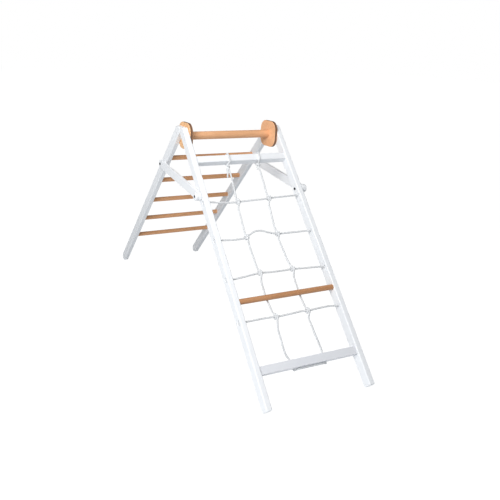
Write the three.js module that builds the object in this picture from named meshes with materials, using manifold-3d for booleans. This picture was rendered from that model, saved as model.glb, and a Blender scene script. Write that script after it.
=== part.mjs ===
// Folding climbing frame for children: a rope net panel in front, a rung ladder behind,
// joined at the top by two plates and a thick bar, and held open by two side braces.
// Millimetres, +X across, +Y to the ladder side, +Z up, origin on the floor under the top joint.
import * as THREE from 'three';
import { mergeVertices } from 'three/addons/utils/BufferGeometryUtils.js';
import Module from 'manifold-3d';

const wasm = await Module();
wasm.setup();

// The whole frame
const frameWidth = 600;
const crossingHeight = 1140;
const spreadAngle = THREE.MathUtils.degToRad(43.4);

// The places down the legs and the ropes' routes are drawn for this size of frame, and follow it
const drawnWidth = 600;
const drawnHeight = 1140;
const drawnPlaces = {
  topCrossbar: 236,
  bottomCrossbar: 1369,
  frontRung: 1032,
  firstRung: 302,
  rungPitch: 226,
  bracePivot: 356,
  braceHook: 443,
};
const drawnRowPlaces = [486, 703, 914, 1131];

// Fits and cuts
const seatGap = 0.3;
const cutOverrun = 5;
const mergeReach = 0.0001;

// Legs: two rails in front and two behind, mitred against each other at the top
const railThickness = 30;
const railDepth = 55;
const railRounding = 5;
const apexGap = 1;
const apexDrop = 10;
const frontFootFlatDrop = 4;
const frontToeRounding = 7;
const rearFootFlatDrop = 0.8;

// Net panel: two crossbars on dowels and one wooden rung, which stands proud of the middle plane
const crossbarSize = 40;
const crossbarRounding = 3;
const frontRungLift = 9;

// Dowels that join the crossbars and the plates to the front rails
const dowelDiameter = 8;
const dowelRounding = 1;
const crossbarDowelSpacing = 18;
const dowelDepthInRail = 18;
const dowelDepthInCrossbar = 22;
const dowelDepthInPlate = 11;
const upperPlateDowelPlace = 50;
const lowerPlateDowelPlace = 85;

// Rungs of the ladder
const rungDiameter = 28;
const rungRounding = 1;
const rungSocketDepth = 15;
const rearRungCount = 5;

// Plates at the top, as soft squares, and the bar between them
const plateWidth = 163;
const plateHeight = 146;
const plateCornerRadius = 50;
const plateThickness = 18;
const plateRounding = 3;
const plateDrop = 61;
const topBarDiameter = 44;
const topBarRounding = 1;
const barSocketDepth = 10;

// Ladder hinge: a bolt through each rear rail into a threaded insert in the plate
const hingePlace = 65;
const hingeBoltDiameter = 8;
const hingeHeadDiameter = 16;
const hingeHeadThickness = 5;
const hingeHeadRounding = 1;
const hingeHeadSink = 8;
const hingeInsertDiameter = 12;
const hingeInsertLength = 13;
const hingeCapThickness = 2;
const hingeCapRounding = 0.4;

// Side braces: pivot on the ladder, hook on the net panel
const braceWidth = 48;
const braceThickness = 15;
const braceRounding = 2.5;
const hookClearance = 1;
const braceTurnRatio = 1.456;
const washerThickness = 1.4;
const washerDiameter = 20;

// Black bolts of the braces and the round knobs
const boltDiameter = 8;
const boltHeadDiameter = 13;
const boltHeadHeight = 4;
const boltHeadRounding = 1.5;
const pivotNutDiameter = 11;
const pivotNutDepth = 12;
const pivotNutFlangeHeight = 2;
const pivotNutRounding = 0.8;
const knobDiameter = 45;
const knobThickness = 16;
const knobRounding = 5;
const knobBoreDepth = 10;
const knobRecessDepth = 2.5;

// Screws in the feet of the ladder, set back from the middle of the rounded end
const footScrewSetbacks = { upper: 52, lower: 6 };
const footScrewInset = 8;
const screwHeadDiameter = 7;
const screwHeadHeight = 3;
const screwDiameter = 3.6;
const screwLength = 32;

// Rope of the net
const ropeDiameter = 10;
const ropeClearance = 0.6;
const ropeLift = 5;
const wrapClearance = 0.8;
const wrapShifts = { left: { front: 24, top: 10, back: 10 }, right: { front: 4, top: 16, back: 2 } };
const wrapStretchInset = 10;
const tieStrandSpacing = 11.2;
const knotRadius = 12;
const bindingReach = 18;
const bindingRadius = 8;
const stopperRadius = 10.6;
const stopperHalfDepth = 5.2;
const stopperRecessDiameter = 24;
const stopperRecessDepth = 12;
const ropeHoleFlare = 3;

// Roundness of the turned and moulded shapes
const boardRoundSteps = 2;
const toeArcSteps = 4;
const footArcSteps = 9;
const braceArcSteps = 10;
const edgeRoundSteps = 2;
const chamferSteps = 1;
const cornerArcSteps = 3;
const rungSides = 20;
const barSides = 28;
const plateArcSteps = 9;
const knobSides = 24;
const boltSides = 12;
const dowelSides = 10;
const recessSides = 16;
const ropeHoleSides = 12;
const ropeSides = 8;
const knotSides = 8;
const knotRings = 5;

// Routes of the net's ropes, as [across, along, out] on the net panel, from its top down
const drawnRowRoutes = [
  [[-256, 486, 5], [-219, 491, 5], [-160, 497, 4], [-102, 496, 3], [-20, 494, 4], [64, 492, 4],
    [87, 489, 3], [170, 487, 4], [256, 486, 5]],
  [[-256, 703, 5], [-211, 706, 4], [-155, 707, 3], [-117, 702, 3], [-94, 688, 6], [-62, 676, 9],
    [-30, 675, 9], [18, 690, 6], [65, 700, 4], [142, 702, 4], [256, 703, 5]],
  [[-256, 914, 5], [-162, 905, 4], [-127, 901, 3], [-106, 900, 3], [-40, 904, 4], [30, 905, 4],
    [82, 903, 3], [150, 908, 4], [218, 911, 5], [256, 914, 5]],
  [[-256, 1131, 5], [-190, 1130, 4], [-126, 1130, 3], [-96, 1132, 3], [0, 1130, 3], [50, 1127, 3],
    [87, 1130, 3], [155, 1127, 4], [223, 1127, 5], [256, 1131, 5]],
];
const drawnLeftLeg = [
  [-97, 312, 0], [-98, 340, 3], [-100, 385, 4], [-102, 440, 4], [-106, 475, 4], [-108, 496, 3],
  [-110, 530, 3], [-113, 575, 2], [-116, 620, 3], [-119, 665, 3], [-120, 702, 3], [-115, 740, 1],
  [-113, 800, -1], [-112, 860, 1], [-111, 900, 3], [-110, 940, -2], [-109, 985, -8.5],
  [-108, 1032, -10.8], [-105, 1070, -8], [-105, 1108, 1], [-104, 1132, 3], [-104, 1190, 0],
  [-103, 1240, -6], [-101, 1280, -13], [-95, 1315, -20], [-84, 1337, -24.5], [-77, 1349, -26],
];
const drawnRightLeg = [
  [92, 282, 0], [91, 310, 2], [89, 345, 3], [87, 390, 4], [83, 440, 4], [80, 489, 3], [75, 520, 3],
  [72, 560, 2], [66, 610, 2], [62, 655, 3], [60, 701, 4], [58, 730, 2], [61, 765, 1], [67, 815, 1],
  [72, 860, 2], [76, 903, 3], [75, 940, -2], [79, 985, -8.5], [81, 1032, -10.8], [83, 1070, -8],
  [82, 1105, 1], [80, 1130, 3], [80, 1165, 2], [82, 1200, 0], [89, 1245, -7], [97, 1285, -14],
  [104, 1318, -21], [105, 1335, -24.5], [100, 1349, -26],
];
const drawnLeftKnots = [[-102, 496, 3], [-117, 702, 3], [-106, 900, 3], [-96, 1132, 3]];
const drawnRightKnots = [[87, 489, 3], [65, 701, 4], [82, 903, 3], [87, 1130, 3]];
const tieStrandTurn = THREE.MathUtils.degToRad(37);

// Colours of the materials
const whitePaint = new THREE.MeshStandardMaterial({ color: 0xf3f4f6, roughness: 0.45, metalness: 0 });
const bareBeech = new THREE.MeshStandardMaterial({ color: 0xd9a878, roughness: 0.6, metalness: 0 });
const blackSteel = new THREE.MeshStandardMaterial({ color: 0x1c1c1e, roughness: 0.4, metalness: 0.8 });
const zincSteel = new THREE.MeshStandardMaterial({ color: 0xb8bcc0, roughness: 0.35, metalness: 0.9 });
const whiteRope = new THREE.MeshStandardMaterial({ color: 0xeeeeec, roughness: 0.9, metalness: 0 });
const whitePlastic = new THREE.MeshStandardMaterial({ color: 0xf1f2f4, roughness: 0.35, metalness: 0 });

// Places and routes on the real frame
const widthShare = frameWidth / drawnWidth;
const heightShare = crossingHeight / drawnHeight;

function realRoute(drawn) {
  return drawn.map(([across, along, out]) => [across * widthShare, along * heightShare, out]);
}

const places = Object.fromEntries(
  Object.entries(drawnPlaces).map(([name, along]) => [name, along * heightShare]));
const rowPlaces = drawnRowPlaces.map((along) => along * heightShare);
const rowRoutes = drawnRowRoutes.map(realRoute);
const leftLegRoute = realRoute(drawnLeftLeg);
const rightLegRoute = realRoute(drawnRightLeg);
const knotPlaces = realRoute([...drawnLeftKnots, ...drawnRightKnots]);

// Scene graph: each panel has its own group, tilted about the line where the legs cross.
// In a panel, along runs down the leg from the crossing, and out stands off its middle plane.
const climbingFrame = new THREE.Group();
const front = { group: new THREE.Group(), facing: -1 };
const rear = { group: new THREE.Group(), facing: 1 };
for (const panel of [front, rear]) {
  panel.group.position.z = crossingHeight;
  panel.group.rotation.x = panel.facing * spreadAngle;
  climbingFrame.add(panel.group);
}

// Planes across the frame, as distances from its middle
const sides = [{ name: 'left', sign: -1 }, { name: 'right', sign: 1 }];
const railOutside = frameWidth / 2;
const railInside = railOutside - railThickness;
const plateOutside = railInside - seatGap;
const plateInside = plateOutside - plateThickness;
const barHalfLength = plateInside + barSocketDepth - seatGap;
const rungHalfLength = railInside + rungSocketDepth - seatGap;
const crossbarHalfLength = railInside - seatGap;
const braceInside = railOutside + washerThickness + 2 * seatGap;
const braceOutside = braceInside + braceThickness;
const knobInside = braceOutside + seatGap;
const knobOutside = knobInside + knobThickness;
const halfDepth = railDepth / 2;

function panelPoint(panel, along, out) {
  return new THREE.Vector2(panel.facing * out, -along);
}

// The same point seen from the side of the standing frame, as y and z
function standingPoint(panel, along, out) {
  const crossing = new THREE.Vector2();
  const stood = panelPoint(panel, along, out).rotateAround(crossing, panel.facing * spreadAngle);
  return new THREE.Vector2(stood.x, crossingHeight + stood.y);
}

// A point of a panel from its distance to the frame's middle and its drop below the crossing
function levelPoint(panel, away, drop) {
  const along = away * Math.sin(spreadAngle) + drop * Math.cos(spreadAngle);
  const out = away * Math.cos(spreadAngle) - drop * Math.sin(spreadAngle);
  return panelPoint(panel, along, out);
}

// How far along a leg a line at a set distance out reaches a set drop below the crossing
function alongAtDrop(out, drop) {
  return (drop + out * Math.sin(spreadAngle)) / Math.cos(spreadAngle);
}

function toSolid(geometry) {
  const bare = geometry.clone();
  bare.deleteAttribute('normal');
  bare.deleteAttribute('uv');
  const merged = mergeVertices(bare, mergeReach);
  return new wasm.Manifold(new wasm.Mesh({
    numProp: 3,
    vertProperties: merged.attributes.position.array,
    triVerts: new Uint32Array(merged.index.array),
  }));
}

function toGeometry(solid) {
  const result = solid.getMesh();
  const geometry = new THREE.BufferGeometry();
  geometry.setAttribute('position', new THREE.BufferAttribute(result.vertProperties, result.numProp));
  geometry.setIndex(new THREE.BufferAttribute(result.triVerts, 1));
  geometry.computeVertexNormals();
  return geometry;
}

function cut(body, tools) {
  return toGeometry(tools.reduce((rest, tool) => rest.subtract(toSolid(tool)), toSolid(body)));
}

function join(shapes) {
  return toGeometry(shapes.map(toSolid).reduce((whole, next) => whole.add(next)));
}

function addPiece(name, geometry, material, group, place = new THREE.Vector2()) {
  const piece = new THREE.Mesh(geometry, material);
  piece.name = name;
  piece.position.set(0, place.x, place.y);
  group.add(piece);
  return piece;
}

// Turns a shape that was extruded along Z so that it runs across the frame, along X
function layAcross(geometry) {
  const across = new THREE.Matrix4().makeBasis(
    new THREE.Vector3(0, 1, 0), new THREE.Vector3(0, 0, 1), new THREE.Vector3(1, 0, 0));
  return geometry.applyMatrix4(across);
}

// A board between two planes across the frame, from its outline seen from the side
function boardBetween(outline, inside, outside, rounding, sign) {
  const geometry = new THREE.ExtrudeGeometry(new THREE.Shape(outline), {
    depth: outside - inside - 2 * rounding,
    bevelEnabled: true,
    bevelThickness: rounding,
    bevelSize: rounding,
    bevelOffset: -rounding,
    bevelSegments: boardRoundSteps,
  });
  const start = sign > 0 ? inside : -outside;
  geometry.translate(0, 0, start + rounding);
  return layAcross(geometry);
}

// Points on an arc, from one angle to another
function arcPoints(centre, radius, from, to, steps) {
  const points = [];
  for (let step = 0; step <= steps; step += 1) {
    const angle = from + (to - from) * step / steps;
    points.push(new THREE.Vector2(centre.x + radius * Math.cos(angle), centre.y + radius * Math.sin(angle)));
  }
  return points;
}

// A turned piece along X, from [radius, place] pairs with rising places on the right side
function turned(profile, sideCount, sign) {
  const points = profile.map(([radius, place]) => new THREE.Vector2(radius, sign * place));
  if (sign < 0) points.reverse();
  return new THREE.LatheGeometry(points, sideCount).rotateZ(-Math.PI / 2);
}

// The rounded rim where a side wall meets an end face, as [radius, place] pairs
function farRim(radius, end, rounding, steps = edgeRoundSteps) {
  const centre = new THREE.Vector2(radius - rounding, end - rounding);
  return arcPoints(centre, rounding, 0, Math.PI / 2, steps).map((point) => [point.x, point.y]);
}

function nearRim(radius, start, rounding, steps = edgeRoundSteps) {
  const centre = new THREE.Vector2(radius - rounding, start + rounding);
  return arcPoints(centre, rounding, -Math.PI / 2, 0, steps).map((point) => [point.x, point.y]);
}

// A round bar along X with softened ends: a plain chamfer where no steps are given
function roundBar(radius, start, end, rounding, sideCount, sign = 1, steps = chamferSteps) {
  return turned([
    [0, start], ...nearRim(radius, start, rounding, steps),
    ...farRim(radius, end, rounding, steps), [0, end],
  ], sideCount, sign);
}

// A round cutter across the frame, between two planes on one side
function bore(radius, start, end, point, sign, sideCount = boltSides) {
  return turned([[0, start], [radius, start], [radius, end], [0, end]], sideCount, sign)
    .translate(0, point.x, point.y);
}

// The four rails
function railOutline(panel, foot) {
  const inside = (halfDepth * Math.cos(spreadAngle) + apexGap / 2) / Math.sin(spreadAngle);
  return [
    panelPoint(panel, inside, -halfDepth),
    levelPoint(panel, apexGap / 2, apexDrop),
    panelPoint(panel, alongAtDrop(halfDepth, apexDrop), halfDepth),
    ...foot,
  ];
}

// The front rails end square and stand on the flat that is cut under their lower corner
function frontFoot() {
  const end = alongAtDrop(-halfDepth, crossingHeight + frontFootFlatDrop);
  const flatOut = (end * Math.cos(spreadAngle) - crossingHeight) / Math.sin(spreadAngle);
  const toeCentre = new THREE.Vector2(halfDepth - frontToeRounding, end - frontToeRounding);
  const toe = arcPoints(toeCentre, frontToeRounding, 0, Math.PI / 2, toeArcSteps);
  return [
    ...toe.map((p) => panelPoint(front, p.y, p.x)),
    panelPoint(front, end, flatOut),
    panelPoint(front, alongAtDrop(-halfDepth, crossingHeight), -halfDepth),
  ];
}

// The rear rails end round, with a narrow flat where they stand
const rearFootPlace = (crossingHeight + rearFootFlatDrop - halfDepth) / Math.cos(spreadAngle);

function rearFoot() {
  const centre = new THREE.Vector2(0, rearFootPlace);
  const lowest = Math.PI / 2 + spreadAngle;
  const flatHalfAngle = Math.acos(1 - rearFootFlatDrop / halfDepth);
  const toSide = (p) => panelPoint(rear, p.y, p.x);
  return [
    ...arcPoints(centre, halfDepth, 0, lowest - flatHalfAngle, footArcSteps).map(toSide),
    ...arcPoints(centre, halfDepth, lowest + flatHalfAngle, Math.PI, toeArcSteps).map(toSide),
  ];
}

function ropeHole(place, sign) {
  const point = panelPoint(front, place, ropeLift);
  const radius = ropeDiameter / 2 + ropeClearance;
  const recessFloor = railOutside - stopperRecessDepth;
  const flare = turned([
    [0, railInside - ropeHoleFlare], [radius + 2 * ropeHoleFlare, railInside - ropeHoleFlare],
    [radius, railInside + ropeHoleFlare], [0, railInside + ropeHoleFlare],
  ], ropeHoleSides, sign).translate(0, point.x, point.y);
  return [
    bore(radius, railInside - cutOverrun, recessFloor + seatGap, point, sign, ropeHoleSides),
    bore(stopperRecessDiameter / 2, recessFloor, railOutside + cutOverrun, point, sign, recessSides),
    flare,
  ];
}

function dowelPoints(place) {
  const half = crossbarDowelSpacing / 2;
  return [panelPoint(front, place - half, 0), panelPoint(front, place + half, 0)];
}

function frontRail({ name, sign }) {
  const body = boardBetween(railOutline(front, frontFoot()), railInside, railOutside, railRounding, sign);
  const dowelRadius = dowelDiameter / 2 + seatGap;
  const dowels = [
    ...dowelPoints(places.topCrossbar),
    ...dowelPoints(places.bottomCrossbar),
    panelPoint(front, upperPlateDowelPlace, 0),
    panelPoint(front, lowerPlateDowelPlace, 0),
  ];
  const tools = [
    ...dowels.map((p) => bore(dowelRadius, railInside - cutOverrun, railInside + dowelDepthInRail, p, sign,
      dowelSides)),
    bore(rungDiameter / 2 + seatGap, railInside - cutOverrun, railInside + rungSocketDepth,
      panelPoint(front, places.frontRung, frontRungLift), sign, rungSides),
    bore(boltDiameter / 2 + seatGap, railInside - cutOverrun, railOutside + cutOverrun,
      panelPoint(front, places.braceHook, 0), sign),
    ...rowPlaces.flatMap((place) => ropeHole(place, sign)),
  ];
  addPiece(`front_rail_${name}`, cut(body, tools), whitePaint, front.group);
}

function rearRungPlaces() {
  return Array.from({ length: rearRungCount }, (_, index) => places.firstRung + index * places.rungPitch);
}

// A countersunk screw in the under face of a ladder foot; grow widens it into its own hole
function footScrewShape(setback, sign, grow) {
  const face = -halfDepth - grow;
  const shape = new THREE.LatheGeometry([
    [0, face],
    [screwHeadDiameter / 2 + grow, face],
    [screwDiameter / 2 + grow, face + screwHeadHeight],
    [screwDiameter / 2 + grow, screwLength - halfDepth + grow],
    [0, screwLength - halfDepth + grow],
  ].map(([radius, height]) => new THREE.Vector2(radius, height)), boltSides);
  return shape.translate(sign * (railInside + footScrewInset), 0, setback - rearFootPlace);
}

function rearRail({ name, sign }) {
  const body = boardBetween(railOutline(rear, rearFoot()), railInside, railOutside, railRounding, sign);
  const hinge = panelPoint(rear, hingePlace, 0);
  const pivot = panelPoint(rear, places.bracePivot, 0);
  const nutEnd = railInside + pivotNutDepth + seatGap;
  const headSeat = railOutside - hingeHeadSink;
  const tools = [
    ...rearRungPlaces().map((place) => bore(rungDiameter / 2 + seatGap, railInside - cutOverrun,
      railInside + rungSocketDepth, panelPoint(rear, place, 0), sign, rungSides)),
    bore(hingeBoltDiameter / 2 + seatGap, railInside - cutOverrun, railOutside, hinge, sign),
    bore(hingeHeadDiameter / 2 + seatGap, headSeat, railOutside + cutOverrun, hinge, sign),
    bore(boltDiameter / 2 + seatGap, railInside, railOutside + cutOverrun, pivot, sign),
    bore(pivotNutDiameter / 2 + seatGap, railInside - cutOverrun, nutEnd, pivot, sign),
    ...Object.values(footScrewSetbacks).map((setback) => footScrewShape(setback, sign, seatGap)),
  ];
  addPiece(`rear_rail_${name}`, cut(body, tools), whitePaint, rear.group);
}

function footScrews({ name, sign }) {
  for (const [level, setback] of Object.entries(footScrewSetbacks)) {
    addPiece(`foot_screw_${level}_${name}`, footScrewShape(setback, sign, 0), blackSteel, rear.group);
  }
}

// Crossbars, rungs and the top bar
function crossbar(name, place) {
  const half = crossbarSize / 2 - crossbarRounding;
  const corners = [[half, half, 0], [-half, half, 1], [-half, -half, 2], [half, -half, 3]];
  const outline = corners.flatMap(([x, y, quarter]) => arcPoints(new THREE.Vector2(x, y), crossbarRounding,
    quarter * Math.PI / 2, (quarter + 1) * Math.PI / 2, edgeRoundSteps));
  const body = new THREE.ExtrudeGeometry(new THREE.Shape(outline), {
    depth: 2 * crossbarHalfLength, bevelEnabled: false,
  }).translate(0, 0, -crossbarHalfLength);
  const centre = panelPoint(front, place, 0);
  const tools = sides.flatMap(({ sign }) => dowelPoints(place).map((point) => bore(
    dowelDiameter / 2 + seatGap, railInside - dowelDepthInCrossbar, railInside + cutOverrun,
    point.clone().sub(centre), sign, dowelSides)));
  addPiece(name, cut(layAcross(body), tools), whitePaint, front.group, centre);
}

function crossbarDowels(barName, place, { name, sign }) {
  dowelPoints(place).forEach((point, index) => {
    const shape = roundBar(dowelDiameter / 2, railInside - dowelDepthInCrossbar + seatGap,
      railInside + dowelDepthInRail - seatGap, dowelRounding, dowelSides, sign);
    addPiece(`${barName}_dowel_${name}_${index + 1}`, shape, bareBeech, front.group, point);
  });
}

function rung(name, panel, along, out) {
  const shape = roundBar(rungDiameter / 2, -rungHalfLength, rungHalfLength, rungRounding, rungSides);
  addPiece(name, shape, bareBeech, panel.group, panelPoint(panel, along, out));
}

const plateCentre = new THREE.Vector2(0, crossingHeight - plateDrop);

function topBar() {
  const shape = roundBar(topBarDiameter / 2, -barHalfLength, barHalfLength, topBarRounding, barSides);
  addPiece('top_bar', shape, bareBeech, climbingFrame, plateCentre);
}

function plateDowelPoints() {
  return [upperPlateDowelPlace, lowerPlateDowelPlace].map((place) => standingPoint(front, place, 0));
}

function plateOutline() {
  const across = plateWidth / 2 - plateCornerRadius;
  const upward = plateHeight / 2 - plateCornerRadius;
  const quarter = Math.PI / 2;
  return [[across, upward], [-across, upward], [-across, -upward], [across, -upward]]
    .flatMap(([y, z], turn) => arcPoints(
      new THREE.Vector2(y, z), plateCornerRadius, turn * quarter, (turn + 1) * quarter, plateArcSteps));
}

// Soft square plates, with the bar's socket, the front dowels' holes and the hinge insert's hole
function hingePlate({ name, sign }) {
  const body = boardBetween(plateOutline(), plateInside, plateOutside, plateRounding, sign);
  const hinge = standingPoint(rear, hingePlace, 0).sub(plateCentre);
  const tools = [
    bore(topBarDiameter / 2 + seatGap, plateInside - cutOverrun, plateInside + barSocketDepth,
      new THREE.Vector2(), sign, barSides),
    bore(hingeInsertDiameter / 2 + seatGap, plateOutside - hingeInsertLength - seatGap,
      plateOutside + cutOverrun, hinge, sign),
    ...plateDowelPoints().map((point) => bore(dowelDiameter / 2 + seatGap, plateOutside - dowelDepthInPlate,
      plateOutside + cutOverrun, point.sub(plateCentre), sign, dowelSides)),
  ];
  addPiece(`hinge_plate_${name}`, cut(body, tools), bareBeech, climbingFrame, plateCentre);
}

function plateDowels({ name, sign }) {
  plateDowelPoints().forEach((point, index) => {
    const shape = roundBar(dowelDiameter / 2, plateOutside - dowelDepthInPlate + seatGap,
      railInside + dowelDepthInRail - seatGap, dowelRounding, dowelSides, sign);
    addPiece(`plate_dowel_${name}_${index + 1}`, shape, bareBeech, climbingFrame, point);
  });
}

// Hinge of the ladder: insert and bolt stay in the plate, the cap closes the rail's counterbore
function hinge({ name, sign }) {
  const centre = standingPoint(rear, hingePlace, 0);
  const boltRadius = hingeBoltDiameter / 2;
  const insertEnd = plateOutside - hingeInsertLength;
  const boltTip = insertEnd + seatGap;
  const headSeat = railOutside - hingeHeadSink + seatGap;
  const insertWall = [
    [boltRadius + seatGap, insertEnd], [hingeInsertDiameter / 2, insertEnd],
    [hingeInsertDiameter / 2, plateOutside], [boltRadius + seatGap, plateOutside],
    [boltRadius + seatGap, insertEnd],
  ];
  addPiece(`hinge_insert_${name}`, turned(insertWall, boltSides, sign), zincSteel, climbingFrame, centre);
  const bolt = turned([
    [0, boltTip], [boltRadius, boltTip], [boltRadius, headSeat], [hingeHeadDiameter / 2, headSeat],
    ...farRim(hingeHeadDiameter / 2, headSeat + hingeHeadThickness, hingeHeadRounding),
    [0, headSeat + hingeHeadThickness],
  ], boltSides, sign);
  addPiece(`hinge_bolt_${name}`, bolt, zincSteel, climbingFrame, centre);
  const cap = roundBar(hingeHeadDiameter / 2, railOutside - hingeCapThickness, railOutside,
    hingeCapRounding, boltSides, sign);
  addPiece(`hinge_cap_${name}`, cap, whitePlastic, rear.group, panelPoint(rear, hingePlace, 0));
}

// Braces: the pivot end turns on the ladder's bolt, the front end is an open hook
const bracePivot = standingPoint(rear, places.bracePivot, 0);
const braceHook = standingPoint(front, places.braceHook, 0);
const braceLength = bracePivot.distanceTo(braceHook);
const braceTilt = Math.atan2(bracePivot.y - braceHook.y, bracePivot.x - braceHook.x);

// The way the hook bolt leaves the brace as the ladder starts to fold
function hookDirection() {
  const fromHinge = braceHook.clone().sub(standingPoint(rear, hingePlace, 0));
  const fromPivot = braceHook.clone().sub(bracePivot).multiplyScalar(braceTurnRatio);
  return fromHinge.sub(fromPivot).angle() + Math.PI / 2 - braceTilt;
}

function braceOutline() {
  const half = braceWidth / 2;
  return [
    ...arcPoints(new THREE.Vector2(), half, -Math.PI / 2, Math.PI / 2, braceArcSteps),
    ...arcPoints(new THREE.Vector2(-braceLength, 0), half, Math.PI / 2, 3 * Math.PI / 2, braceArcSteps),
  ];
}

function brace({ name, sign }) {
  const body = boardBetween(braceOutline(), braceInside, braceOutside, braceRounding, sign);
  const slotRadius = boltDiameter / 2 + hookClearance;
  const hookPoint = new THREE.Vector2(-braceLength, 0);
  const slotThickness = braceThickness + 2 * cutOverrun;
  const slot = new THREE.BoxGeometry(slotThickness, braceWidth, 2 * slotRadius)
    .translate(0, braceWidth / 2, 0)
    .rotateX(hookDirection())
    .translate(sign * (braceInside + braceThickness / 2), hookPoint.x, hookPoint.y);
  const tools = [
    bore(boltDiameter / 2 + seatGap, braceInside - cutOverrun, braceOutside + cutOverrun,
      new THREE.Vector2(), sign),
    bore(slotRadius, braceInside - cutOverrun, braceOutside + cutOverrun, hookPoint, sign),
    slot,
  ];
  const piece = addPiece(`brace_${name}`, cut(body, tools), whitePaint, climbingFrame, bracePivot);
  piece.rotation.x = braceTilt;
}

function pivotHardware({ name, sign }) {
  const point = panelPoint(rear, places.bracePivot, 0);
  const boltRadius = boltDiameter / 2;
  const headSeat = braceOutside + seatGap;
  const headTop = headSeat + boltHeadHeight;
  const nutSeat = railInside - seatGap;
  const nutTop = nutSeat - pivotNutFlangeHeight;
  const nutEnd = railInside + pivotNutDepth;
  const washer = turned([
    [boltRadius + seatGap, railOutside + seatGap], [washerDiameter / 2, railOutside + seatGap],
    [washerDiameter / 2, braceInside - seatGap], [boltRadius + seatGap, braceInside - seatGap],
    [boltRadius + seatGap, railOutside + seatGap],
  ], boltSides, sign);
  addPiece(`brace_washer_${name}`, washer, zincSteel, rear.group, point);
  const headRadius = boltHeadDiameter / 2;
  const bolt = turned([
    [0, railInside + seatGap], [boltRadius, railInside + seatGap], [boltRadius, headSeat],
    [headRadius, headSeat], ...farRim(headRadius, headTop, boltHeadRounding), [0, headTop],
  ], boltSides, sign);
  addPiece(`pivot_bolt_${name}`, bolt, blackSteel, rear.group, point);
  const nut = turned([
    [0, nutTop], ...nearRim(headRadius, nutTop, pivotNutRounding), [headRadius, nutSeat],
    [pivotNutDiameter / 2, nutSeat], [pivotNutDiameter / 2, nutEnd], [boltRadius + seatGap, nutEnd],
    [boltRadius + seatGap, railInside], [0, railInside],
  ], boltSides, sign);
  addPiece(`pivot_nut_${name}`, nut, blackSteel, rear.group, point);
}

function hookHardware({ name, sign }) {
  const point = panelPoint(front, places.braceHook, 0);
  const boltRadius = boltDiameter / 2;
  const headRadius = boltHeadDiameter / 2;
  const headSeat = railInside - seatGap;
  const headTop = headSeat - boltHeadHeight;
  const boreEnd = knobInside + knobBoreDepth;
  const recessFloor = knobOutside - knobRecessDepth;
  const bolt = turned([
    [0, headTop], ...nearRim(headRadius, headTop, boltHeadRounding), [headRadius, headSeat],
    [boltRadius, headSeat], [boltRadius, boreEnd - seatGap], [0, boreEnd - seatGap],
  ], boltSides, sign);
  addPiece(`hook_bolt_${name}`, bolt, blackSteel, front.group, point);
  const knob = turned([
    [0, boreEnd], [boltRadius + seatGap, boreEnd], [boltRadius + seatGap, knobInside],
    ...nearRim(knobDiameter / 2, knobInside, boltHeadRounding),
    ...farRim(knobDiameter / 2, knobOutside, knobRounding),
    [headRadius + seatGap, knobOutside], [headRadius + seatGap, recessFloor], [0, recessFloor],
  ], knobSides, sign);
  addPiece(`knob_${name}`, knob, whitePlastic, front.group, point);
  const head = roundBar(headRadius, recessFloor + seatGap, recessFloor + boltHeadHeight,
    boltHeadRounding, boltSides, sign, edgeRoundSteps);
  addPiece(`knob_screw_${name}`, head, blackSteel, front.group, point);
}

// A rope's steps follow its route's own points, which lie close together only round corners
class RopeCurve extends THREE.CatmullRomCurve3 {
  getUtoTmapping(share) {
    return share;
  }
}

function ropeAlong(route, radius) {
  const points = route.map(([across, along, out]) => new THREE.Vector3(across, front.facing * out, -along));
  const section = new THREE.Shape(
    arcPoints(new THREE.Vector2(), radius, 0, 2 * Math.PI, ropeSides).slice(0, ropeSides));
  return new THREE.ExtrudeGeometry(section, {
    steps: points.length - 1, bevelEnabled: false, extrudePath: new RopeCurve(points, false, 'centripetal'),
  });
}

function lump([across, along, out], halfAcross, halfAlong, halfOut) {
  return new THREE.SphereGeometry(1, knotSides, knotRings)
    .scale(halfAcross, halfOut, halfAlong)
    .translate(across, front.facing * out, -along);
}

// A row runs through both rails and ends in a stopper knot in each rail's recess
function rowRoute(index) {
  const end = railOutside - stopperRecessDepth / 2;
  const inRail = railInside + ropeDiameter / 2;
  const inRow = (across) => [across, rowPlaces[index], ropeLift];
  return [inRow(-end), inRow(-inRail), ...rowRoutes[index], inRow(inRail), inRow(end)];
}

function netRow(index) {
  const route = rowRoute(index);
  const stoppers = [route.at(0), route.at(-1)]
    .map((end) => lump(end, stopperHalfDepth, stopperRadius, stopperRadius));
  addPiece(`net_row_${index + 1}`, join([ropeAlong(route, ropeDiameter / 2), ...stoppers]),
    whiteRope, front.group);
}

// The rope's way round a corner of a crossbar, as [out, along] pairs about the bar's middle
function roundCorner(outSign, alongSign, from, to) {
  const centre = new THREE.Vector2(outSign, alongSign).multiplyScalar(crossbarSize / 2 - crossbarRounding);
  const radius = crossbarRounding + ropeDiameter / 2 + wrapClearance;
  return arcPoints(centre, radius, from, to, cornerArcSteps).map((p) => [p.x, p.y]);
}

// From its tie below the top crossbar the rope goes up the front, over the bar and back down,
// shifted sideways at the foot of the bar's front, on its top and at the foot of its back
function topWrap([across, along, out], shifts) {
  const quarter = Math.PI / 2;
  const way = [
    ...roundCorner(1, 1, tieStrandTurn, 0),
    ...roundCorner(1, -1, 0, -quarter),
    ...roundCorner(-1, -1, -quarter, -2 * quarter),
    ...roundCorner(-1, 1, 2 * quarter, 2 * quarter - tieStrandTurn),
  ];
  const last = way.length - 1;
  const route = way.map(([outward, down], index) => {
    const rise = THREE.MathUtils.mapLinear(index, 0, last / 2, shifts.front, shifts.top);
    const fall = THREE.MathUtils.mapLinear(index, last / 2, last, shifts.top, shifts.back);
    return [across + (index < last / 2 ? rise : fall), places.topCrossbar + down, outward];
  });
  const half = tieStrandSpacing / 2;
  return [[across, along, out + half], ...route, [across, along, out - half]];
}

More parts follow.
